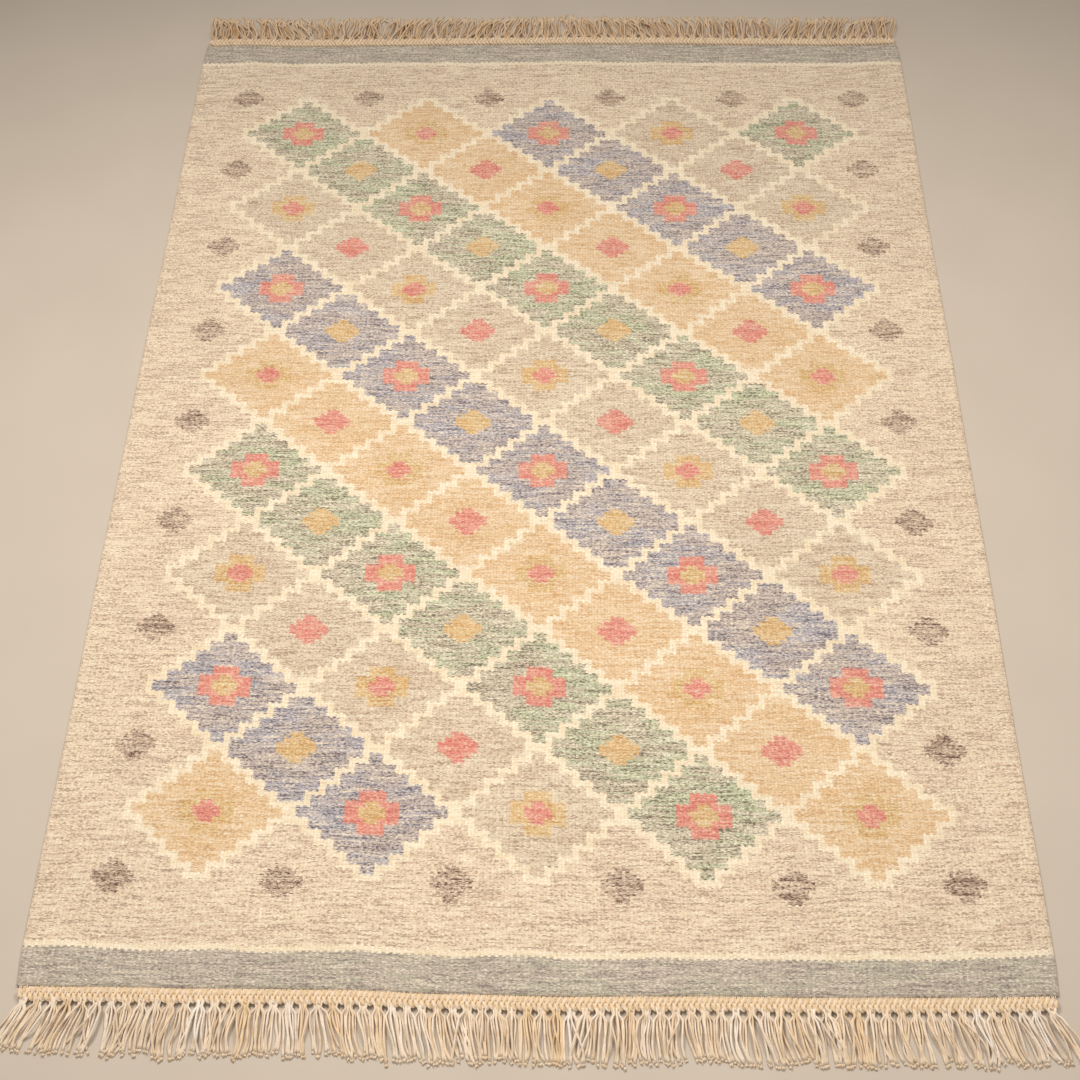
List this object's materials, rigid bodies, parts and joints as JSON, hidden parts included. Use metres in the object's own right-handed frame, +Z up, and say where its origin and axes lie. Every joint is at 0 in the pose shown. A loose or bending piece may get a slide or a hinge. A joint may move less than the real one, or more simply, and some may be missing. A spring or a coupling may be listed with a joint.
{
  "type": "flatweave rug",
  "caption": "Flat weft-faced wool rug with a stepped lozenge pattern, a dark band and a plaited warp edge at each end, and a loose knotted fringe lying on the floor.",
  "frame": {"origin": "on the floor, under the middle of the rug's whole outline, fringe included", "axes": "+X across the rug's width, +Y along its length from the near fringe to the far one, +Z up from the floor"},
  "size_m": [1.7418, 2.584, 0.0075],
  "materials": {
    "wool_weave": "matt heathered wool, weft-faced plain weave",
    "cotton_warp": "matt unbleached twisted warp cord"
  },
  "bodies": {
    "root": {"rug_cloth": "wool_weave", "plaited_fringe_front": "cotton_warp", "plaited_fringe_back": "cotton_warp"}
  },
  "joints": []
}
